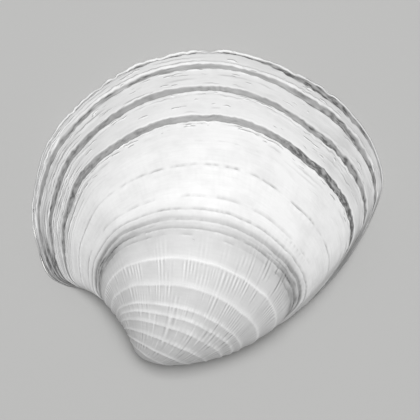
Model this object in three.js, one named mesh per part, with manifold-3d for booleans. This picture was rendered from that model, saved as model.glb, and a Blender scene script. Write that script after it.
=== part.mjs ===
// One valve of a ridged cockle: the right half of the shell, lying on its rim with its outside up.
//
// Units are millimetres. +X runs along the hinge towards the hind (siphon) end, +Y from the beak across
// the shell to its open edge, and +Z up through the domed outside. The rim lies in the plane Z = 0, and
// the origin is the middle of the footprint.
//
// A shell grows only at its rim, so the whole outside is the track of one closed curve, the rim, as it
// was at every younger age: smaller, and turned about an axis through the beak. Age is counted as the
// natural logarithm of the shrinkage, which makes the track an equiangular spiral.
import * as THREE from "three";
import { mergeVertices } from "three/addons/utils/BufferGeometryUtils.js";
import Module from "manifold-3d";

// Driving dimensions, in millimetres and degrees.
const RIM_CENTRE = new THREE.Vector3(-0.25, 0.95, 0);
// The rim as [bearing from +X, distance from RIM_CENTRE]: hind end first, then the open edge, the
// rounded front lobe, the hollow below the beak at 218 to 230 degrees, and the hinge.
const RIM_OUTLINE = [
  [0, 24.8], [10, 25.6], [20, 25.2], [30, 24.4], [40, 23.7], [60, 22.1], [80, 21.6],
  [100, 21.4], [120, 21.8], [140, 22.5], [160, 23.9], [180, 24.5],
  [192, 24.8], [204, 24.8], [211, 23.4], [218, 20.9], [230, 19.8], [245, 18.6],
  [260, 18.1], [280, 18.4], [300, 19.2], [320, 20.7], [340, 22.2],
];
const BEAK = new THREE.Vector3(-9.95, -18.55, 1.3);
const AXIS_BEARING = 1;
const AXIS_DIP = 22.5; // the axis drops towards the hind end, which turns the beak forwards
const TURN_PER_AGE = 0.91; // radians
const EARLY_TURN = 0.4; // radians more, all spent within the last growth
const EARLY_TURN_SPAN = 0.57; // in units of age
const OLDEST_AGE = 2.85; // where the beak's tip closes
const RIM_WIDTH = 1.5; // the flat lip that met the other valve
const HINGE_WIDTH = 5.0; // the plate below the beak, at its widest
const HINGE_BEARING = 250;
const HINGE_SPREAD = 30;
const WALL = 2.1; // thickness of the dome, measured straight down
const HOLLOW_SQUARENESS = 6; // the higher, the steeper the hollow's sides

// How finely the curved surfaces are cut into flats.
const STEPS_PER_OUTLINE_POINT = 4;
const GROWTH_STEPS = 30;
const GROWTH_BUNCHING = 1.5; // above 1, the growth lines that are modelled lie closer near the rim
const HOLLOW_SECTORS = 72;
const HOLLOW_STEPS = 9;
const OVERCUT = 1; // how far the hollow's tool reaches below the rim
const ROOM = 100; // comfortably larger than the shell
const SAME_POINT = 1e-4; // points closer than this are one

const UP = new THREE.Vector3(0, 0, 1);
const SHELL_WHITE = 0xe9e7e2;

function atBearing(centre, degrees, distance, z = 0) {
  const a = THREE.MathUtils.degToRad(degrees);
  return new THREE.Vector3(centre.x + distance * Math.cos(a), centre.y + distance * Math.sin(a), z);
}

const rimCurve = new THREE.CatmullRomCurve3(
  RIM_OUTLINE.map(([bearing, distance]) => atBearing(RIM_CENTRE, bearing, distance)),
  true,
  "catmullrom",
  0.5,
);
const rim = rimCurve.getPoints(RIM_OUTLINE.length * STEPS_PER_OUTLINE_POINT).slice(0, -1);

// Distance from RIM_CENTRE to the rim at a bearing, between the two rim points on either side of it.
function rimDistance(degrees) {
  const polar = rim.map((p) => {
    const away = p.clone().sub(RIM_CENTRE);
    const bearing = THREE.MathUtils.radToDeg(Math.atan2(away.y, away.x));
    return { turn: THREE.MathUtils.euclideanModulo(bearing - degrees, 360), distance: away.length() };
  });
  const next = polar.reduce((a, b) => (b.turn < a.turn ? b : a));
  const last = polar.reduce((a, b) => (b.turn > a.turn ? b : a));
  const gap = 360 - last.turn;
  return THREE.MathUtils.lerp(last.distance, next.distance, gap / (gap + next.turn));
}

function turnAt(age) {
  return TURN_PER_AGE * age + EARLY_TURN * (1 - Math.exp(-age / EARLY_TURN_SPAN));
}

// The rim as it was at a younger age.
function growthLine(age) {
  const bearing = THREE.MathUtils.degToRad(AXIS_BEARING);
  const dip = THREE.MathUtils.degToRad(AXIS_DIP);
  const level = Math.cos(dip);
  const axis = new THREE.Vector3(Math.cos(bearing) * level, Math.sin(bearing) * level, -Math.sin(dip));
  return rim.map((p) =>
    p.clone().sub(BEAK).applyAxisAngle(axis, turnAt(age)).multiplyScalar(Math.exp(-age)).add(BEAK),
  );
}

// A closed body through rings of equally many points, anticlockwise from above, lowest ring first.
function bodyThroughRings(rings) {
  const sides = rings[0].length;
  const middle = (ring) => ring.reduce((sum, p) => sum.add(p), new THREE.Vector3()).divideScalar(sides);
  const points = [...rings.flat(), middle(rings[0]), middle(rings.at(-1))];
  const foot = rings.length * sides;
  const top = (rings.length - 1) * sides;
  const faces = [];
  for (let j = 0; j < sides; j++) {
    const k = (j + 1) % sides;
    faces.push(foot, k, j);
    faces.push(foot + 1, top + j, top + k);
    for (let row = 0; row < top; row += sides) {
      faces.push(row + j, row + k, row + sides + k);
      faces.push(row + j, row + sides + k, row + sides + j);
    }
  }
  return new THREE.BufferGeometry().setFromPoints(points).setIndex(faces);
}

const outsideRings = Array.from({ length: GROWTH_STEPS + 1 }, (_, i) =>
  growthLine(OLDEST_AGE * (i / GROWTH_STEPS) ** GROWTH_BUNCHING),
);
const outside = bodyThroughRings(outsideRings);

// Width of the flat between the rim and the hollow: a lip, widened below the beak into the hinge plate.
function lipWidth(degrees) {
  const away = THREE.MathUtils.euclideanModulo(degrees - HINGE_BEARING + 180, 360) - 180;
  return RIM_WIDTH + (HINGE_WIDTH - RIM_WIDTH) * Math.exp(-((away / HINGE_SPREAD) ** 2));
}

// The hollow follows the outside at the wall's thickness, and falls to the lip all round.
function hollowRings() {
  const lookDown = new THREE.Raycaster();
  const dome = new THREE.Mesh(outside);
  const ringAt = (share, lift) =>
    Array.from({ length: HOLLOW_SECTORS }, (_, i) => {
      const bearing = (360 * i) / HOLLOW_SECTORS;
      const reach = rimDistance(bearing) - lipWidth(bearing);
      const p = atBearing(RIM_CENTRE, bearing, share * reach);
      lookDown.set(p.clone().addScaledVector(UP, ROOM), UP.clone().negate());
      const roof = lookDown.intersectObject(dome)[0].point.z;
      p.z = lift + Math.max(0, roof - WALL) * (1 - share ** HOLLOW_SQUARENESS);
      return p;
    });
  const shares = Array.from({ length: HOLLOW_STEPS }, (_, i) => Math.sqrt(1 - i / HOLLOW_STEPS));
  return [ringAt(1, -OVERCUT), ...shares.map((share) => ringAt(share, 0))];
}

// Cutting and joining, with each piece as a closed solid.
const wasm = await Module();
wasm.setup();

function solidFrom(geometry) {
  const bare = geometry.clone();
  bare.deleteAttribute("normal");
  bare.deleteAttribute("uv");
  const merged = mergeVertices(bare, SAME_POINT);
  return new wasm.Manifold(
    new wasm.Mesh({
      numProp: 3,
      vertProperties: new Float32Array(merged.attributes.position.array),
      triVerts: new Uint32Array(merged.index.array),
    }),
  );
}

function geometryFrom(solid) {
  const { vertProperties, triVerts } = solid.getMesh();
  return new THREE.BufferGeometry()
    .setAttribute("position", new THREE.BufferAttribute(vertProperties, 3))
    .setIndex(new THREE.BufferAttribute(triVerts, 1))
    .toNonIndexed();
}

const aboveRimPlane = new THREE.BoxGeometry(ROOM, ROOM, ROOM).translate(0, 0, ROOM / 2);
const valveSolid = solidFrom(outside)
  .intersect(solidFrom(aboveRimPlane))
  .subtract(solidFrom(bodyThroughRings(hollowRings())));
const valveGeometry = geometryFrom(valveSolid);
valveGeometry.computeVertexNormals();

const valve = new THREE.Mesh(
  valveGeometry,
  new THREE.MeshStandardMaterial({ color: SHELL_WHITE, roughness: 0.55, metalness: 0 }),
);
valve.name = "valve";

const shell = new THREE.Group();
shell.add(valve);

export default shell;
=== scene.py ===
import math

import bpy
import numpy as np
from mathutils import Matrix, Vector
from mathutils.bvhtree import BVHTree


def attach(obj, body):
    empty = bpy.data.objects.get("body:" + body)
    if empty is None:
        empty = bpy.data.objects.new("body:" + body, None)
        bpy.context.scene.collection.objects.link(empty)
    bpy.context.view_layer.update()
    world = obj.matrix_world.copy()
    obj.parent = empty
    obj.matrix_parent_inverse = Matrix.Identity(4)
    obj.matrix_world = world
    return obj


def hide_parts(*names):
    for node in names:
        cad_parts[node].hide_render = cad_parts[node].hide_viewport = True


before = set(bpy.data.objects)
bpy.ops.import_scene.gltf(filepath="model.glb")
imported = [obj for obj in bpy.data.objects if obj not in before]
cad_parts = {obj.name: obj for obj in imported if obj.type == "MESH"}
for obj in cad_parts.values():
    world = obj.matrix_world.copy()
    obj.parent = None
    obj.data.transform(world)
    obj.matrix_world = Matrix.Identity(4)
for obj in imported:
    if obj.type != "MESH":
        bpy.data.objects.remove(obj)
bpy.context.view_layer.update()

METRES = 0.001

# The growth surface, in mm and degrees, as the solid has it.
RIM_CENTRE = np.array([-0.25, 0.95])
RIM_OUTLINE = [  # bearing, distance from RIM_CENTRE
    (0, 24.8), (10, 25.6), (20, 25.2), (30, 24.4), (40, 23.7), (60, 22.1), (80, 21.6),
    (100, 21.4), (120, 21.8), (140, 22.5), (160, 23.9), (180, 24.5),
    (192, 24.8), (204, 24.8), (211, 23.4), (218, 20.9), (230, 19.8), (245, 18.6),
    (260, 18.1), (280, 18.4), (300, 19.2), (320, 20.7), (340, 22.2),
]
BEAK = np.array([-9.95, -18.55, 1.3])
AXIS_BEARING = math.radians(1)
AXIS_DIP = math.radians(22.5)
TURN_PER_AGE = 0.91
EARLY_TURN = 0.4
EARLY_TURN_SPAN = 0.57
OLDEST_AGE = 2.85
RIM_WIDTH = 1.5
HINGE_WIDTH = 5.0
HINGE_BEARING = 250
HINGE_SPREAD = 30
WALL = 2.1
HOLLOW_SQUARENESS = 6

# The inside's own marks.
CRIMP_DEPTH = 0.22
HINGE_SOCKETS = (236, 246, 257)  # bearings
SOCKET_DEPTH = 0.7
SOCKET_SPREAD = 2.6
MUSCLE_SCARS = [(-15.2, -2.2, 3.6, 2.4), (15.6, 1.6, 3.4, 2.9)]  # x, y, half length along Y, half width
SCAR_HEIGHT = 0.12
MANTLE_LINE = 0.84  # as a share of the way from RIM_CENTRE to the lip
SINUS_DEPTH = 0.22  # how far the mantle line bends inward at the hind side, as the same share

# How finely the mesh is drawn. The hollow has half as many columns as the outside.
COLUMNS = 464
HINGE_COLUMN_SHARE = 0.4  # columns are this much sparser along the hinge
LIP_SHARES = [0.06, 0.2, 0.35, 0.5, 0.65, 0.8, 0.9, 1.0]
HOLLOW_RINGS = 22
HOLLOW_TAPER = 0.6  # below 1, so the hollow's rings are closer together near the lip
ABOVE_DOME = 100
LIP_STEP = 0.2  # what one ring of the lip, and one of the hollow, count for in the finishes
HOLLOW_STEP = 1.0


def ease(x):
    """0 below 0, 1 above 1, and a smooth rise between."""
    x = np.clip(x, 0, 1)
    return x * x * (3 - 2 * x)


def hump(x, width):
    """A smooth bump of height 1 at 0, and so wide."""
    return np.exp(-((x / width) ** 2))


def near(bearing, middle, spread):
    """1 on the stretch of rim about a bearing, fading to 0 round the rest."""
    away = (bearing - middle + 180) % 360 - 180
    return np.exp(-((away / spread) ** 2))


# ---------------------------------------------------------------- the growth surface


def rim_curve(per_span=200):
    """The smooth closed curve through RIM_OUTLINE, finely divided."""
    bearings = np.radians([b for b, _ in RIM_OUTLINE])
    distances = np.array([d for _, d in RIM_OUTLINE])
    p1 = RIM_CENTRE + distances[:, None] * np.stack([np.cos(bearings), np.sin(bearings)], 1)
    p0 = np.roll(p1, 1, 0)[:, None]
    p2 = np.roll(p1, -1, 0)[:, None]
    p3 = np.roll(p1, -2, 0)[:, None]
    p1 = p1[:, None]
    t = (np.arange(per_span) / per_span)[None, :, None]
    curve = 2 * p1 + (p2 - p0) * t + (2 * p0 - 5 * p1 + 4 * p2 - p3) * t**2
    curve = (curve + (3 * p1 - p0 - 3 * p2 + p3) * t**3) / 2
    return curve.reshape(-1, 2)


def lay_columns():
    """Where the columns meet the rim, their bearings, and how far round the rim they are, from 0 to 1.
    They start under the beak, where the seam is hidden, and are sparser along the hinge."""
    curve = rim_curve()
    bearing = np.degrees(np.arctan2(*(curve - RIM_CENTRE).T[::-1])) % 360
    curve = np.roll(curve, -int(np.argmin(np.abs(bearing - HINGE_BEARING))), 0)
    closed = np.vstack([curve, curve[:1]])
    steps = np.linalg.norm(np.diff(closed, axis=0), axis=1)
    bearing = np.degrees(np.arctan2(*(curve - RIM_CENTRE).T[::-1])) % 360
    weight = steps * (1 - (1 - HINGE_COLUMN_SHARE) * near(bearing, 270, 50))
    placed = np.concatenate([[0], np.cumsum(weight)]) / weight.sum()
    length = np.concatenate([[0], np.cumsum(steps)])
    want = np.arange(COLUMNS) / COLUMNS
    rim = np.stack([np.interp(want, placed, closed[:, k]) for k in (0, 1)], 1)
    turn = np.interp(want, placed, length / length[-1])
    bearing = np.degrees(np.arctan2(*(rim - RIM_CENTRE).T[::-1])) % 360
    return rim, bearing, turn, length[-1]


RIM, BEARING, TURN, RIM_LENGTH = lay_columns()


def growth_point(age, rim):
    """Where the rim's points were when the shell was younger by age."""
    level = math.cos(AXIS_DIP)
    axis = np.array([math.cos(AXIS_BEARING) * level, math.sin(AXIS_BEARING) * level, -math.sin(AXIS_DIP)])
    arm = np.pad(rim, ((0, 0), (0, 1))) - BEAK
    turn = TURN_PER_AGE * age + EARLY_TURN * (1 - np.exp(-age / EARLY_TURN_SPAN))
    turn = turn[..., None]
    swung = arm * np.cos(turn) + np.cross(axis, arm) * np.sin(turn)
    swung = swung + np.outer(arm @ axis, axis) * (1 - np.cos(turn))
    return BEAK + np.exp(-age)[..., None] * swung


def track_back():
    """A table from distance back along the middle of the valve to age."""
    age = np.linspace(0, OLDEST_AGE, 4000)
    middle = RIM[np.argmin(np.abs(BEARING - 90))]
    path = growth_point(age[:, None], middle[None, :])[:, 0]
    steps = np.linalg.norm(np.diff(path, axis=0), axis=1)
    return np.concatenate([[0], np.cumsum(steps)]), age


TRACK, TRACK_AGE = track_back()
BEAK_TIP = TRACK[-1]


def noise(turn, back, patch_round, patch_back, seed):
    """Smooth random values from -1 to 1, in patches so many mm along the rim and back from it."""
    around = max(3, round(RIM_LENGTH / patch_round))
    rows = int(BEAK_TIP / patch_back) + 3
    table = np.random.default_rng(seed).uniform(-1, 1, (rows, around))
    u = np.asarray(turn) * around
    v = np.asarray(back) / patch_back + 0.5
    i = np.floor(u).astype(int)
    j = np.floor(v).astype(int)
    fu = ease(u - i)
    fv = ease(v - j)
    low = table[j, i % around] * (1 - fu) + table[j, (i + 1) % around] * fu
    high = table[j + 1, i % around] * (1 - fu) + table[j + 1, (i + 1) % around] * fu
    return low * (1 - fv) + high * fv


# ---------------------------------------------------------------- the relief of the outside
# Every feature is placed by its distance back from the rim along the middle of the valve, in mm.

# Winter halts: the shell stopped growing, and began again from underneath its own edge. Each is a
# flat-floored furrow, darkened with grey silt and painted shade, with a raised crest on its beak side
# whitened with bloom and a painted highlight:
# (distance, width, depth, silt and painted shade, silt and painted shade at the hind end).
HALTS = [
    (3.80, 0.98, 0.10, 0.54, 0.82),
    (8.45, 1.02, 0.13, 0.60, 0.72),
    (13.80, 1.18, 0.15, 0.62, 0.88),
]
FURROW_EDGE = 0.14  # how wide the slope at each side of a furrow is
# Broken ledges, each an edge whitened with bloom and a painted highlight, with a dark line of painted
# shade and silt on its rim side: (distance, height, how much shows).
LEDGES = [
    (2.92, 0.12, 0.7), (9.75, 0.08, 0.5), (14.95, 0.08, 0.5),
    (17.9, 0.04, 0.2), (21.8, 0.10, 0.5), (26.5, 0.06, 0.4),
    (28.4, 0.07, 0.85), (29.95, 0.05, 0.8), (30.5, 0.05, 0.1), (31.2, 0.05, 0.75), (32.2, 0.04, 0.4),
]
# The long pause where the shell is waisted, with two soft furrows in it: (distance, depth, half width).
WAIST = [(29.35, 0.04, 0.26), (30.75, 0.03, 0.3)]
WAIST_MIDDLE = 30.8
PIT_ROW = 26.9
# The young shell's raised ridges: (distance, height, width on the rim side).
RIDGES = [
    (35.6, 0.09, 0.7), (39.7, 0.13, 1.2), (43.1, 0.11, 0.6), (44.8, 0.12, 0.6),
    (46.8, 0.11, 0.7), (49.6, 0.11, 0.7), (52.6, 0.10, 0.5), (55.4, 0.08, 0.5),
]
# Lamellae, thin sheets of shell whose edges come and go, lie between the halts of the last seasons.
LAMELLA_SPACING = 0.78
LAMELLA_ZONE = 20.0
RIBLETS = 118  # round the whole rim
RIBLET_HEIGHT = 0.035
SHEET_END = 0.36  # where the last thin sheet ends, and how softly
SHEET_FADE = 0.12
# The plain surface is sunk by this, so that the ridges stay within the solid's box.
ROOM_FOR_RELIEF = 0.1
# How the growth lines stray, each by noise: (mm, patch along the rim, patch back from it, seed).
WANDER = [(0.12, 16, 9, 1), (0.08, 5, 4, 2)]
RAGGED = [(0.10, 1.2, 1.2, 3), (0.20, 0.62, 0.6, 4)]
CHIP_DEPTH = 0.50
STEP_DEPTH = 0.55
STEP_LENGTH = 3.0
# Where the growth ran late or early, so that its lines lie further back or nearer the rim:
# (bearing, spread, mm, distance by which it has set in, distance where it ends).
UNEVEN_GROWTH = [(42, 17, 0.95, 6, 34), (72, 16, 0.25, 3, 18), (180, 14, -0.9, 3, 11)]
# Notches broken from the rim's edge: (bearing, spread, mm).
NOTCHES = [
    (56, 2.4, 0.6), (97, 1.0, 0.4), (121, 1.2, 0.5), (133, 1.5, 0.6), (146, 1.4, 0.6), (158, 1.2, 0.5),
    (196, 3.0, 0.8),
]


def lamella_distances():
    jitter = np.random.default_rng(31).uniform(-0.12, 0.12, int(LAMELLA_ZONE / LAMELLA_SPACING))
    distances = (np.arange(len(jitter)) + 1.6 + jitter) * LAMELLA_SPACING
    return [d for d in distances if all(abs(d - halt) > width / 2 + 0.28 for halt, width, *_ in HALTS)]


LAMELLAE = lamella_distances()


def ring_distances():
    """A ring wherever a feature bends, and others between them where the gap is wide."""
    bends = [0, 0.14, 0.30, 0.42, 0.56, 0.75, 1.0]
    for distance, width, *_ in HALTS:
        for side in (-width / 2, width / 2):
            bends += [distance + side - 0.07, distance + side + 0.07]
        bends += [distance - width / 4, distance, distance + width / 4, distance + width / 2 + 0.25]
    bends += [distance + step for distance in LAMELLAE for step in (-0.2, 0, 0.26)]
    bends += [distance + step for distance, *_ in LEDGES for step in (-0.18, 0, 0.24)]
    bends += [distance for distance, *_ in WAIST]
    bends += [distance + step for distance, _, width in RIDGES for step in (-width, -0.4 * width, 0, 0.35)]
    rings = []
    for bend in sorted(bends) + [BEAK_TIP]:
        if rings and bend - rings[-1] < 0.075:
            continue
        if rings:
            widest = 0.36 if bend < 15 else 0.62
            rings += list(np.linspace(rings[-1], bend, math.ceil((bend - rings[-1]) / widest) + 1)[1:])
        else:
            rings.append(bend)
    return np.array(rings)


def broken_steps(length, seed):
    """Each break starts at once and dies away, and is so long in mm."""
    around = round(RIM_LENGTH / length)
    depth = np.random.default_rng(seed).uniform(0, 1, around)
    i = np.floor(TURN * around).astype(int)
    return depth[i % around] * (1 - (TURN * around - i))


def moved_back(back):
    """Where the growth lines really lie: they wander together, and are ragged at the ends of the valve."""
    wander = sum(most * noise(TURN, back, *patch) for most, *patch in WANDER)
    moved = back + wander * ease(back / 3) * ease((BEAK_TIP - back) / 6)
    for bearing, spread, distance, start, end in UNEVEN_GROWTH:
        fade = ease(back / start) * ease((end - back) / (0.65 * end))
        moved = moved + distance * near(BEARING, bearing, spread) * fade
    for distance, *_ in HALTS:  # the furrows are wider at both ends
        wider = 0.6 * near(BEARING, 168, 38) + 0.45 * near(BEARING, 20, 34)
        moved = moved + wider * (back - distance) * hump(back - distance, 1.0)
    rough = 0.5 + 0.5 * np.maximum(near(BEARING, 25, 34), near(BEARING, 182, 36))
    ragged = sum(most * noise(TURN, back, *patch) for most, *patch in RAGGED)
    moved = moved + ragged * rough * ease(back / 1.5) * (0.4 + 0.6 * ease((17 - back) / 3))
    breadth = 0.14 * noise(TURN, back, 8, 1.1, 5)
    moved = moved + breadth * ease(back / 2) * ease((17 - back) / 2)
    large = np.maximum(noise(TURN, 0 * TURN, 2.3, 1, 6), 0)
    small = np.maximum(noise(TURN, 0 * TURN, 0.8, 1, 7), 0)
    chips = CHIP_DEPTH * (large + 0.8 * small)
    chips = chips * (0.35 + near(BEARING, 95, 75)) * (1 - 0.5 * near(BEARING, 132, 25))
    chips = chips + STEP_DEPTH * broken_steps(STEP_LENGTH, 8) * near(BEARING, 128, 34)
    for bearing, spread, distance in NOTCHES:
        chips = np.maximum(chips, distance * near(BEARING, bearing, spread))
    return moved + (chips + 0.02) * (1 - ease(back / 1.3))


class Relief:
    """At every ring and column of the outside: its height, how much grey silt and painted shade it has,
    how much white bloom and painted highlight, and how many small flakes have lifted from it."""

    def __init__(self, back):
        self.back = back
        self.turn = TURN + 0 * back
        self.height = 0 * back
        self.silt_and_shade = 0 * back
        self.bloom_and_highlight = 0 * back
        self.flaky = 0 * back
        self.front = near(BEARING, 182, 40) + 0 * back
        self.hind = near(BEARING, 22, 34) + 0 * back
        self.halts()
        self.last_growth()
        self.lamellae()
        self.waist()
        self.ledges()
        self.pits()
        self.riblets()
        self.ridges()
        self.settle()

    def along(self, patch, seed):
        """Noise that changes only along the rim."""
        return noise(self.turn, 0 * self.back, patch, 1, seed)

    def patchy(self, patch_round, patch_back, seed):
        """Noise that changes both ways."""
        return noise(self.turn, self.back, patch_round, patch_back, seed)

    def add_silt_and_shade(self, amount):
        self.silt_and_shade = np.maximum(self.silt_and_shade, amount)

    def whiten(self, amount):
        self.bloom_and_highlight = np.maximum(self.bloom_and_highlight, amount)

    def flake(self, amount):
        self.flaky = np.maximum(self.flaky, amount)

    def halts(self):
        for n, (distance, width, depth, silt_and_shade, hind_silt_and_shade) in enumerate(HALTS):
            x = self.back - distance
            rimward = ease((x + width / 2) / FURROW_EDGE + 0.5)
            beakward = ease((x - width / 2) / FURROW_EDGE + 0.5)
            floor = rimward * (1 - beakward)
            mottled = self.patchy(0.9, 0.35, 11) + self.patchy(2.5, 0.16, 12)
            mottled = mottled * (0.06 + 0.20 * self.hind + 0.10 * self.front)
            if n == 0:  # broken up along the upper front
                mottled = mottled + 0.55 * self.patchy(2.0, 0.25, 13) * near(BEARING, 130, 28)
            if n == 1:  # the riblets show faintly in its middle
                mottled = mottled + 0.07 * self.comb() * near(BEARING, 91, 9)
            self.height -= depth * floor * (1 + mottled)
            darkening = silt_and_shade + (hind_silt_and_shade - silt_and_shade) * ease(1.6 * self.hind) + 0.12 * self.front
            if n == 0:  # paler at the upper hind side
                darkening = darkening - 0.16 * near(BEARING, 52, 16)
            # Grey silt and painted shade on the furrow's floor.
            self.add_silt_and_shade(floor * (darkening + mottled))
            past = x - width / 2
            crest = ease(past / 0.07) * np.exp(-np.maximum(past - 0.07, 0) / 0.4)
            shows = 0.5 + 0.7 * self.along(4, 24 + n) + 0.7 * self.along(0.8, 17 + n)
            crest = crest * np.clip(shows, 0.05, 1.1)
            self.height += 0.09 * crest
            # The crest is whitened with bloom and a painted highlight.
            self.whiten(crest)
            self.flake(0.5 * hump(past - 0.5, 0.9))

    def last_growth(self):
        """The last season's thin growth: a frilled edge with a gap under it, and at the hind half a low,
        rough apron."""
        frill = np.clip(self.along(2.6, 27) + self.along(0.8, 30) + 0.7, 0.1, 1)
        frill = frill * np.clip(near(BEARING, 100, 70) * 1.3, 0, 1) * (1 - 0.5 * near(BEARING, 42, 18))
        sheet = 1 - ease((self.back - SHEET_END) / SHEET_FADE + 0.5)
        self.height += 0.16 * frill * sheet
        gap = 0.78 + 0.30 * self.along(3.4, 29) + 0.14 * self.along(0.9, 37)
        gap = gap + 1.0 * near(BEARING, 44, 18)
        past_sheet = ease((self.back - SHEET_END) / SHEET_FADE + 0.5)
        under = past_sheet * (1 - ease((self.back - gap) / 0.16 + 0.5))
        self.height -= (0.08 + 0.06 * frill) * under
        rough = 0.35 * self.patchy(0.9, 0.3, 23) * near(BEARING, 45, 35)
        # Painted shade and silt in the gap under the frill, deeper where the frill stands higher, and
        # darker on the rough hind apron.
        self.add_silt_and_shade(under * (0.50 + 0.42 * frill + 0.20 * near(BEARING, 42, 22) + rough))
        # Bloom and a painted highlight along the frill's edge.
        self.whiten(frill * sheet)
        self.flake(0.5 * hump(self.back, 2.2))

    def lamellae(self):
        for k, distance in enumerate(LAMELLAE):
            x = self.back - distance
            shows = 0.75 * self.along(7.5, 40 + k) + 0.45 * self.along(2.2, 90 + k)
            plates = 0.45 * near(BEARING, 132, 28) * (distance < 4)
            shows = np.clip(2.2 * (shows - 0.38 + 0.75 * self.front + 0.08 * self.hind + plates), 0, 1)
            shows = shows * (0.6 + 0.4 * self.front) * ease((LAMELLA_ZONE - distance) / 6)
            edge = np.clip(1 + x / 0.2, 0, 1) * np.clip(1 - x / 0.5, 0, 1)
            foot = np.clip(1 - np.abs(x + 0.2) / 0.2, 0, 1)
            self.height += 0.12 * shows * edge - 0.06 * shows * foot
            # Painted shade and silt at the foot of each lamella, under its edge, and bloom and a painted
            # highlight on the edge.
            self.add_silt_and_shade(0.80 * shows * foot)
            self.whiten(shows * edge**2)
        # Darker patches near the rim along the front and the hind side.
        darkening = 0.74 * near(BEARING, 204, 18) * ease((14 - self.back) / 6)
        darkening = np.maximum(darkening, 0.32 * near(BEARING, 185, 34) * ease((18.5 - self.back) / 4))
        darkening = np.maximum(darkening, 0.18 * near(BEARING, 20, 30) * ease((13.6 - self.back) / 1.5))
        darkening = np.maximum(darkening, 0.60 * near(BEARING, 342, 24) * ease((13.3 - self.back) / 2))
        self.add_silt_and_shade(darkening * (1 + 0.6 * self.patchy(2.5, 0.5, 36)))
        self.flake(0.7 * self.front * ease((LAMELLA_ZONE - self.back) / 5))
        self.flake(0.35 * ease((14 - self.back) / 2))

    def ledges(self):
        """Their silt and painted shade is added over the waist's own painted shade, so that they show
        there too.
        """
        for n, (distance, height, share) in enumerate(LEDGES):
            at_waist = hump(distance - WAIST_MIDDLE, 3.0)
            shows = 0.9 * self.along(5, 60 + n) + 1.1 * self.along(1.4, 75 + n) + 2 * share - 0.5
            shows = shows + at_waist * (0.9 * self.hind + 0.9 * self.front)
            shows = shows + 0.8 * near(BEARING, 192, 13)
            shows = np.clip(shows, 0, 1)
            crumbled = 0.7 * (1 - 0.75 * at_waist)  # the waist's lines are the least broken
            shows = shows * np.clip(0.8 + crumbled * self.along(0.6, 170 + n), 0.2, 1.2)
            x = self.back - distance
            edge = np.clip(1 + x / 0.18, 0, 1) * np.clip(1 - x / 0.36, 0, 1)
            foot = np.clip(1 - np.abs(x + 0.18) / 0.18, 0, 1)
            self.height += height * shows * (edge - 0.5 * foot)
            # A dark line of painted shade and silt at the foot of each ledge, under its edge.
            self.silt_and_shade += (4.5 + 2.0 * at_waist) * height * shows * foot
            # Bloom and a painted highlight along the edge.
            self.whiten(12 * height * shows * edge * (0.7 + 0.5 * self.along(0.7, 160 + n)))

    def pits(self):
        """A short row of pits, one to each riblet, just outside the waist at the hind side."""
        row = hump(self.back - PIT_ROW, 0.22) * near(BEARING, 37, 9) * np.clip(-self.comb(), 0, 1)
        self.height -= 0.05 * row
        # Silt and painted shade in the pits.
        self.silt_and_shade += 0.4 * row

    def waist(self):
        side = np.clip(1.4 * near(BEARING, 190, 42) + 1.3 * near(BEARING, 12, 40), 0, 1.3)
        self.height -= (0.05 + 0.30 * side) * hump(self.back - WAIST_MIDDLE, 1.9)
        # Painted shade and silt in the waist's valley, deepest at the sides, and in its two soft furrows.
        shade = 0.13 + 0.34 * side + 0.20 * self.patchy(2.6, 0.4, 79) * (0.2 + side)
        self.add_silt_and_shade(hump(self.back - WAIST_MIDDLE, 1.8) * shade)
        for distance, depth, half in WAIST:
            x = self.back - distance
            self.height -= depth * (0.8 + 0.7 * side) * hump(x, half)
            self.add_silt_and_shade((0.24 + 0.35 * side) * hump(x, half))

    def comb(self):
        """-1 in the furrow between two riblets, 1 on a riblet. Near the beak there are half as many."""
        turns = 2 * np.pi * (RIBLETS * self.turn + 0.8 * self.along(3.5, 33))
        early = ease((self.back - 42) / 4)
        return -np.cos(turns) * (1 - early) - np.cos(turns / 2) * early

    def riblets(self):
        """They run from the beak towards the rim, strongest just beak-side of each ridge."""
        strength = 0.06 * ease((self.back - 15) / 6) + 0.14 * ease((self.back - 32.5) / 1.5)
        strength = strength + 0.7 * near(BEARING, 38, 26) * hump(self.back - 32.5, 3.2)
        for (start, *_), (end, *_) in zip(RIDGES[:-1], RIDGES[1:]):
            x = (self.back - start) / (end - start)
            strength = strength + (1 - x) * 0.9 * ((x > 0) & (x < 1))
        strength = strength * (1 - 0.9 * near(BEARING, 345, 45)) * (1 - near(BEARING, 250, 50))
        uneven = 0.42 + 0.5 * self.patchy(6, 4, 34) + 1.4 * self.patchy(1.3, 1.8, 35)
        strength = strength * np.clip(uneven, 0, 1.3)
        comb = self.comb()
        self.height += RIBLET_HEIGHT * strength * comb
        darker = 0.90 * near(BEARING, 36, 26) * hump(self.back - 32.0, 3.4)
        darker = darker + 0.40 * near(BEARING, 45, 32) * ease((self.back - 40) / 4)
        # Painted shade and silt in the furrows between riblets, darkest about the hind waist, and bloom
        # and a painted highlight on their crests.
        self.add_silt_and_shade((0.24 + darker) * strength * np.clip(-comb, 0, 1))
        self.whiten(0.8 * strength * np.clip(comb, 0, 1))

    def ridges(self):
        for n, (distance, height, width) in enumerate(RIDGES):
            x = self.back - distance
            rise = np.exp(np.minimum(x, 0) / (0.4 * width)) * (x < 0)
            fall = (1 - ease(x / 0.45)) * (x >= 0)
            beads = 0.3 * self.comb() + 0.7 * self.along(1.5, 150 + n)
            beads = 1 + beads * near(BEARING, 75, 50) * (1 < n < 6)  # only the middle ridges are beaded
            self.height += height * (rise + fall) * beads
            # Bloom and a painted highlight along each ridge.
            self.whiten((rise + fall) * (0.85 + 0.3 * self.along(5, 130 + n)) * beads)

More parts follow.
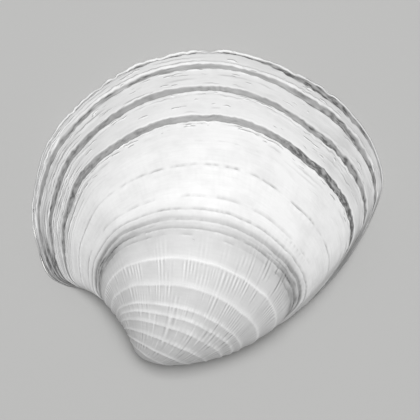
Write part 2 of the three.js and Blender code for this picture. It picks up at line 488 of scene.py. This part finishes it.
    def settle(self):
        """The beak's side of the valve grew slowly, so its relief is shallower there."""
        self.height += 0.010 * self.patchy(0.8, 0.5, 51) + 0.02 * self.patchy(6, 1.1, 52)
        slow = ease(np.linalg.norm(RIM - BEAK[:2], axis=1) / 20)
        self.height = self.height * slow - ROOM_FOR_RELIEF
        self.silt_and_shade = np.clip(self.silt_and_shade, 0, 1)
        self.bloom_and_highlight = np.clip(self.bloom_and_highlight, 0, 1) * (1 - self.silt_and_shade)


# ---------------------------------------------------------------- the mesh


def grid_normals(points):
    """Outward normals of a grid of rings, the rim first."""
    across = np.gradient(points, axis=0)
    along = np.roll(points, -1, 1) - np.roll(points, 1, 1)
    normal = np.cross(along, across)
    return normal / np.maximum(np.linalg.norm(normal, axis=2, keepdims=True), 1e-9)


def outside_grid():
    """Rings from the rim to the beak's tip: with the relief, without it, and the relief itself."""
    back = ring_distances()[:, None] + np.zeros(COLUMNS)
    smooth = growth_point(np.interp(moved_back(back), TRACK, TRACK_AGE), RIM)
    relief = Relief(back)
    points = smooth + grid_normals(smooth) * relief.height[..., None]
    points[..., 2] = np.maximum(points[..., 2], 0)
    return points, smooth, relief


def ring_quads(rings, columns, first=0):
    """Faces between neighbouring rings of points, the first of which is numbered first."""
    faces = []
    for i in range(rings - 1):
        a = first + i * columns
        b = a + columns
        for j in range(columns):
            k = (j + 1) % columns
            faces.append((a + k, a + j, b + j, b + k))
    return faces


def inside_grids(edge, smooth):
    """The flat lip, with the hinge's sockets and the crimped inner edge, and the hollow.
    The hollow has every other column."""
    tree = BVHTree.FromPolygons([tuple(p) for p in smooth.reshape(-1, 3)], ring_quads(*smooth.shape[:2]))
    rim = edge[:, :2]
    toward = rim - RIM_CENTRE
    distance = np.linalg.norm(toward, axis=1)
    toward = toward / distance[:, None]
    lip = RIM_WIDTH + (HINGE_WIDTH - RIM_WIDTH) * near(BEARING, HINGE_BEARING, HINGE_SPREAD)
    lip_rings = []
    for share in LIP_SHARES:
        flat = rim - toward * (share * lip)[:, None]
        lip_rings.append(np.column_stack([flat, lip_relief(flat, share)]))
    hollow_rings = []
    scars = []
    for i in range(1, HOLLOW_RINGS + 1):
        share = (1 - i / (HOLLOW_RINGS + 1)) ** HOLLOW_TAPER
        flat = RIM_CENTRE + (toward * ((distance - lip) * share)[:, None])[::2]
        down = Vector((0, 0, -1))
        roof = np.array([tree.ray_cast(Vector((x, y, ABOVE_DOME)), down)[0].z for x, y in flat])
        scar = inner_marks(flat, share, BEARING[::2])
        z = np.maximum(0, roof - WALL) * (1 - share**HOLLOW_SQUARENESS) + SCAR_HEIGHT * scar
        hollow_rings.append(np.column_stack([flat, z]))
        scars.append(scar)
    return np.array(lip_rings), np.array(hollow_rings), np.array(scars)


def lip_relief(flat, share):
    """How far the lip is cut up from the plane that the valve lies on."""
    crimps = 0.5 - 0.5 * np.cos(2 * np.pi * RIBLETS * TURN)
    open_edge = 1 - near(BEARING, HINGE_BEARING + 12, 55)
    cut = CRIMP_DEPTH * crimps * ease((share - 0.45) / 0.5) * open_edge
    cut += 0.06 * ease((0.12 - share) / 0.12)
    for bearing in HINGE_SOCKETS:
        socket = SOCKET_DEPTH * near(BEARING, bearing, SOCKET_SPREAD)
        cut += socket * ease((share - 0.3) / 0.2) * ease((1.05 - share) / 0.2)
    return cut


def inner_marks(flat, share, bearing):
    """1 on the two muscle scars and along the line where the mantle was fixed."""
    marks = 0 * share * bearing
    for x, y, long_half, short_half in MUSCLE_SCARS:
        reach = np.hypot((flat[:, 0] - x) / short_half, (flat[:, 1] - y) / long_half)
        marks = np.maximum(marks, 1 - ease((reach - 0.9) / 0.2))
    sinus = SINUS_DEPTH * near(bearing, 20, 12)
    line = hump(share - (MANTLE_LINE - sinus), 0.02) * (1 - near(bearing, 275, 75))
    return np.maximum(marks, 0.8 * line)


def keep(mesh, name, values):
    """Stores a value or a vector for each point, for the materials to read."""
    values = np.asarray(values, dtype=np.float32)
    vectors = values.ndim == 2
    attribute = mesh.attributes.new(name, "FLOAT_VECTOR" if vectors else "FLOAT", "POINT")
    attribute.data.foreach_set("vector" if vectors else "value", values.ravel())


def build_valve():
    outside, smooth, relief = outside_grid()
    lip, hollow, scars = inside_grids(outside[0], smooth)
    half = COLUMNS // 2
    full_rings = len(outside) + len(lip)
    first_hollow = full_rings * COLUMNS
    tip = first_hollow + hollow[..., 0].size
    crown = tip + 1
    points = np.vstack([outside[::-1].reshape(-1, 3), lip.reshape(-1, 3), hollow.reshape(-1, 3)])
    points = np.vstack([points, outside[-1].mean(0), hollow[-1].mean(0)])

    faces = ring_quads(len(outside) + 1, COLUMNS)
    faces += [(j, (j + 1) % COLUMNS, tip) for j in range(COLUMNS)]
    outer_faces = len(faces)
    faces += ring_quads(len(lip), COLUMNS, len(outside) * COLUMNS)
    edge = first_hollow - COLUMNS
    for j in range(half):
        a = edge + 2 * j
        c = edge + (2 * j + 2) % COLUMNS
        d = first_hollow + j
        e = first_hollow + (j + 1) % half
        faces += [(a + 1, a, d), (a + 1, d, e), (a + 1, e, c)]
    faces += ring_quads(len(hollow), half, first_hollow)
    last = crown - 1 - half
    faces += [(last + (j + 1) % half, last + j, crown) for j in range(half)]

    mesh = bpy.data.meshes.new("valve_mesh")
    mesh.from_pydata((points * METRES).tolist(), [], faces)
    mesh.shade_smooth()
    inside = len(points) - outside[..., 0].size
    keep(mesh, "back", np.append(relief.back[::-1], np.zeros(inside)))
    keep(mesh, "silt_and_shade", np.append(relief.silt_and_shade[::-1], np.zeros(inside)))
    keep(mesh, "bloom_and_highlight", np.append(relief.bloom_and_highlight[::-1], np.zeros(inside)))
    keep(mesh, "flaky", np.append(relief.flaky[::-1], np.zeros(inside)))
    keep(mesh, "scar", np.concatenate([np.zeros(full_rings * COLUMNS), scars.ravel(), [0, 0]]))
    # the growth as a seamless solid measure in mm: round the rim in x and y, and back from it in z
    radius = RIM_LENGTH / (2 * np.pi)
    turns = [np.tile(TURN, full_rings), np.tile(TURN[::2], len(hollow)), [0, 0]]
    around = 2 * np.pi * np.concatenate(turns)
    on_lip = -np.repeat(np.arange(len(lip)) * LIP_STEP, COLUMNS)
    in_hollow = -np.repeat(np.arange(1, len(hollow) + 1) * HOLLOW_STEP, half)
    ends = [BEAK_TIP, -(HOLLOW_RINGS + 1) * HOLLOW_STEP]
    back = np.concatenate([relief.back[::-1].ravel(), on_lip, in_hollow, ends])
    keep(mesh, "grown", np.stack([radius * np.cos(around), radius * np.sin(around), back], 1))
    lining = np.zeros(len(faces), dtype=np.int32)
    lining[outer_faces:] = 1
    mesh.polygons.foreach_set("material_index", lining)
    mesh.update()
    piece = bpy.data.objects.new("cockle_valve", mesh)
    bpy.context.scene.collection.objects.link(piece)
    return piece


# ---------------------------------------------------------------- materials


def colour(code):
    """An sRGB hex colour as linear values."""
    parts = [int(code[i : i + 2], 16) / 255 for i in (1, 3, 5)]
    return tuple(c / 12.92 if c <= 0.04045 else ((c + 0.055) / 1.055) ** 2.4 for c in parts) + (1.0,)


def new_material(name):
    material = bpy.data.materials.new(name)
    material.use_nodes = True
    material.node_tree.nodes.clear()
    return material, material.node_tree


def add(tree, kind, inputs, give=None, **settings):
    """Adds a node with its settings, and its inputs by identifier, each a value or a feeding socket.
    Gives back the output that is asked for, by identifier too."""
    node = tree.nodes.new(kind)
    for name, value in settings.items():
        setattr(node, name, value)
    sockets = {socket.identifier: socket for socket in node.inputs}
    for name, value in inputs.items():
        if isinstance(value, bpy.types.NodeSocket):
            tree.links.new(value, sockets[name])
        else:
            sockets[name].default_value = value
    return {socket.identifier: socket for socket in node.outputs}.get(give)


def pattern(tree, grown, round_rim, from_rim, detail, shift=0.0):
    """Noise in patches of these sizes in mm, along the rim and back from it, shifted rimwards."""
    shifted = {"Vector": grown, "Vector_001": (0, 0, shift)}
    moved = add(tree, "ShaderNodeVectorMath", shifted, "Vector", operation="ADD")
    scaled = {"Vector": moved, "Vector_001": (1 / round_rim, 1 / round_rim, 1 / from_rim)}
    place = add(tree, "ShaderNodeVectorMath", scaled, "Vector", operation="MULTIPLY")
    inputs = {"Vector": place, "Scale": 1.0, "Detail": detail, "Roughness": 0.6}
    return add(tree, "ShaderNodeTexNoise", inputs, "Fac")


def worn_white(tree, grown, back, lines):
    """The bare shell's own colour: whitest across the middle, greyer where the young shell is worn."""
    clouds = pattern(tree, grown, 6.0, 3.0, 3.0)  # uneven bleaching
    fade = {"Value": back, "From Min": 12.0, "From Max": 17.0}
    middle = add(tree, "ShaderNodeMapRange", fade, "Result")
    whites = {"Factor_Float": middle, "A_Color": colour("#F1F1F1"), "B_Color": colour("#F7F7F7")}
    body = add(tree, "ShaderNodeMix", whites, "Result_Color", data_type="RGBA")
    fade = {"Value": back, "From Min": 27.0, "From Max": 32.0}
    young = add(tree, "ShaderNodeMapRange", fade, "Result")
    greyer = {"Factor_Float": young, "A_Color": body, "B_Color": colour("#DEDEDE")}
    body = add(tree, "ShaderNodeMix", greyer, "Result_Color", data_type="RGBA")
    limits = {"Value": lines, "From Min": 0.35, "From Max": 0.7, "To Max": 0.09}
    lined = add(tree, "ShaderNodeMapRange", limits, "Result")
    limits = {"Value": clouds, "From Min": 0.4, "From Max": 0.7, "To Max": 0.20}
    clouded = add(tree, "ShaderNodeMapRange", limits, "Result")
    worn = add(tree, "ShaderNodeMath", {"Value": lined, "Value_001": clouded}, "Value", operation="ADD")
    inputs = {"Factor_Float": worn, "A_Color": body, "B_Color": colour("#B8B8B8")}
    return add(tree, "ShaderNodeMix", inputs, "Result_Color", data_type="RGBA")


def silted_and_shaded(tree, grown, silt_and_shade, body):
    """Grey silt and painted shade over the shell. The deepest is streaky, in streaks 1 mm along the rim
    and 0.3 mm wide.
    """
    limits = {"Value": pattern(tree, grown, 1.0, 0.3, 2.0), "From Min": 0.3, "From Max": 0.7}
    streaks = add(tree, "ShaderNodeMapRange", {**limits, "To Min": 0.4, "To Max": -0.4}, "Result")
    limits = {"Value": silt_and_shade, "From Min": 0.58, "From Max": 1.0}
    deep = add(tree, "ShaderNodeMapRange", limits, "Result")
    both = {"Value": streaks, "Value_001": deep}
    streaks = add(tree, "ShaderNodeMath", both, "Value", operation="MULTIPLY")
    both = {"Value": silt_and_shade, "Value_001": streaks}
    silt_and_shade_amount = add(tree, "ShaderNodeMath", both, "Value", operation="ADD")
    # The grey of the silt and of the painted shade.
    inputs = {"Factor_Float": silt_and_shade_amount, "A_Color": body, "B_Color": colour("#5E5E5E")}
    return add(tree, "ShaderNodeMix", inputs, "Result_Color", data_type="RGBA")


def flakes(tree, grown, silt_and_shade, flaky):
    """Where thin flakes some 3.5 mm long and 0.45 mm wide have lifted, painted white as a highlight, and
    the painted shade on their rim side.
    """
    bar = {"Value": flaky, "To Min": 0.82, "To Max": 0.37}
    bar = add(tree, "ShaderNodeMapRange", bar, "Result")
    clean = {"Value": silt_and_shade, "From Min": 0.1, "From Max": 0.4, "To Min": 1.0, "To Max": 0.0}
    clean = add(tree, "ShaderNodeMapRange", clean, "Result")
    marks = []
    for shift, most in ((0.0, 1.0), (0.18, 0.5)):
        over = {"Value": pattern(tree, grown, 3.5, 0.45, 1.5, shift), "Value_001": bar}
        over = add(tree, "ShaderNodeMath", over, "Value", operation="SUBTRACT")
        limits = {"Value": over, "From Max": 0.03, "To Max": most}
        mark = add(tree, "ShaderNodeMapRange", limits, "Result")
        shown = {"Value": mark, "Value_001": clean}
        marks.append(add(tree, "ShaderNodeMath", shown, "Value", operation="MULTIPLY"))
    return marks


def bleached_aragonite():
    """Aragonite, the chalk mineral of shell, bleached by sun and rolled by the sea until its skin is gone.
    It is a matt white, greyer where the young shell is worn, with grey silt and painted shade in the
    furrows and under edges, and white bloom and painted highlights along crests and edges."""
    material, tree = new_material("bleached_aragonite")
    back = add(tree, "ShaderNodeAttribute", {}, "Fac", attribute_name="back")
    silt_and_shade = add(tree, "ShaderNodeAttribute", {}, "Fac", attribute_name="silt_and_shade")
    bloom_and_highlight = add(tree, "ShaderNodeAttribute", {}, "Fac", attribute_name="bloom_and_highlight")
    flaky = add(tree, "ShaderNodeAttribute", {}, "Fac", attribute_name="flaky")
    grown = add(tree, "ShaderNodeAttribute", {}, "Vector", attribute_name="grown")

    # The real growth lines are 0.05 mm apart, too fine to show, so they are drawn 0.25 mm apart.
    lines = pattern(tree, grown, 6.0, 0.25, 3.0)
    grain = pattern(tree, grown, 0.18, 0.18, 2.0)  # chalk grain
    soiled_and_shaded = silted_and_shaded(tree, grown, silt_and_shade, worn_white(tree, grown, back, lines))

    limits = {"Value": grain, "From Min": 0.3, "From Max": 0.55, "To Min": 0.5, "To Max": 1.0}
    flecks = add(tree, "ShaderNodeMapRange", limits, "Result")
    # White bloom and painted highlights, broken into flecks by the chalk grain.
    both = {"Value": bloom_and_highlight, "Value_001": flecks}
    chalk_and_highlight = add(tree, "ShaderNodeMath", both, "Value", operation="MULTIPLY")
    inputs = {"Factor_Float": chalk_and_highlight, "A_Color": soiled_and_shaded, "B_Color": colour("#FFFFFF")}
    bloomed_and_highlighted = add(tree, "ShaderNodeMix", inputs, "Result_Color", data_type="RGBA")
    lifted, flake_shade = flakes(tree, grown, silt_and_shade, flaky)
    # Painted shade on the rim side of each lifted flake.
    inputs = {"Factor_Float": flake_shade, "A_Color": bloomed_and_highlighted, "B_Color": colour("#666666")}
    shaded = add(tree, "ShaderNodeMix", inputs, "Result_Color", data_type="RGBA")
    # Painted highlight on the lifted flakes.
    inputs = {"Factor_Float": lifted, "A_Color": shaded, "B_Color": colour("#FFFFFF")}
    outside = add(tree, "ShaderNodeMix", inputs, "Result_Color", data_type="RGBA")

    dull = add(tree, "ShaderNodeMapRange", {"Value": silt_and_shade, "To Min": 0.58, "To Max": 0.85}, "Result")
    relief = {"Value": lines, "Value_001": 0.5, "Value_002": lifted}
    relief = add(tree, "ShaderNodeMath", relief, "Value", operation="MULTIPLY_ADD")
    relief = {"Value": grain, "Value_001": 0.25, "Value_002": relief}
    relief = add(tree, "ShaderNodeMath", relief, "Value", operation="MULTIPLY_ADD")
    bump = add(tree, "ShaderNodeBump", {"Strength": 0.7, "Distance": 0.00006, "Height": relief}, "Normal")
    finish = {"Base Color": outside, "Roughness": dull, "IOR": 1.6, "Normal": bump}
    shader = add(tree, "ShaderNodeBsdfPrincipled", finish, "BSDF")
    add(tree, "ShaderNodeOutputMaterial", {"Surface": shader})
    return material


def porcelain_lining():
    """The shell's inner layer, laid down smooth against the soft body: porcelain-like aragonite.
    It is a glossy warm white, with duller scars where the muscles and the mantle were fixed."""
    material, tree = new_material("porcelain_lining")
    scar = add(tree, "ShaderNodeAttribute", {}, "Fac", attribute_name="scar")
    grown = add(tree, "ShaderNodeAttribute", {}, "Vector", attribute_name="grown")
    rings = pattern(tree, grown, 12.0, 1.5, 3.0)  # faint rings 1.5 mm apart and 12 mm long
    limits = {"Value": rings, "From Min": 0.35, "From Max": 0.7, "To Max": 0.5}
    tint = add(tree, "ShaderNodeMapRange", limits, "Result")
    whites = {"Factor_Float": tint, "A_Color": colour("#F3F2EE"), "B_Color": colour("#E4E2DC")}
    body = add(tree, "ShaderNodeMix", whites, "Result_Color", data_type="RGBA")
    marks = {"Factor_Float": scar, "A_Color": body, "B_Color": colour("#D8D6D0")}
    inside = add(tree, "ShaderNodeMix", marks, "Result_Color", data_type="RGBA")
    gloss = add(tree, "ShaderNodeMapRange", {"Value": scar, "To Min": 0.24, "To Max": 0.42}, "Result")
    bump = add(tree, "ShaderNodeBump", {"Strength": 0.3, "Distance": 0.00008, "Height": rings}, "Normal")
    finish = {"Base Color": inside, "Roughness": gloss, "IOR": 1.6, "Normal": bump}
    shader = add(tree, "ShaderNodeBsdfPrincipled", finish, "BSDF")
    add(tree, "ShaderNodeOutputMaterial", {"Surface": shader})
    return material


def pale_board():
    """A board painted matt, for the valve to lie on: an even pale grey with no shine."""
    material, tree = new_material("pale_board")
    finish = {"Base Color": colour("#B9B9B8"), "Roughness": 0.9}
    shader = add(tree, "ShaderNodeBsdfPrincipled", finish, "BSDF")
    add(tree, "ShaderNodeOutputMaterial", {"Surface": shader})
    return material


# ---------------------------------------------------------------- the floor, the light and the camera

FLOOR_SIZE = 1.2
CAMERA_PLACE = (0.00047, -0.0004, 1.0)
VIEW_WIDTH = 0.0594  # how wide a stretch the view takes in at VIEW_DISTANCE
VIEW_DISTANCE = 0.998  # from the camera down to 2 mm above the floor
LIGHT_PLACE = (0.03, 0.22, 1.2)
LIGHT_SIZE = 0.6
LIGHT_POWER = 12.5
SKY_STRENGTH = 0.27


def lay_floor():
    half = FLOOR_SIZE / 2
    mesh = bpy.data.meshes.new("floor_mesh")
    corners = [(-half, -half, 0), (half, -half, 0), (half, half, 0), (-half, half, 0)]
    mesh.from_pydata(corners, [], [(0, 1, 2, 3)])
    mesh.materials.append(pale_board())
    floor = bpy.data.objects.new("floor", mesh)
    bpy.context.scene.collection.objects.link(floor)


def hang_light(name, place, size, power):
    """A square soft light that faces the valve."""
    data = bpy.data.lights.new(name, "AREA")
    data.energy = power
    data.size = size
    light = bpy.data.objects.new(name, data)
    light.location = place
    light.rotation_euler = (-Vector(place)).to_track_quat("-Z", "Y").to_euler()
    bpy.context.scene.collection.objects.link(light)


def light_studio():
    hang_light("overhead_light", LIGHT_PLACE, LIGHT_SIZE, LIGHT_POWER)
    world = bpy.data.worlds.new("studio")
    world.use_nodes = True
    sky = world.node_tree.nodes["Background"]
    sky.inputs["Color"].default_value = (1, 1, 1, 1)
    sky.inputs["Strength"].default_value = SKY_STRENGTH
    bpy.context.scene.world = world
    bpy.context.scene.view_settings.view_transform = "Standard"


def place_camera():
    data = bpy.data.cameras.new("camera")
    data.lens = data.sensor_width * VIEW_DISTANCE / VIEW_WIDTH
    data.clip_start = 0.1
    data.clip_end = 3
    camera = bpy.data.objects.new("camera", data)
    camera.location = CAMERA_PLACE
    bpy.context.scene.collection.objects.link(camera)
    bpy.context.scene.camera = camera


valve = build_valve()
valve.data.materials.append(bleached_aragonite())
valve.data.materials.append(porcelain_lining())
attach(valve, "root")
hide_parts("valve")
lay_floor()
light_studio()
place_camera()
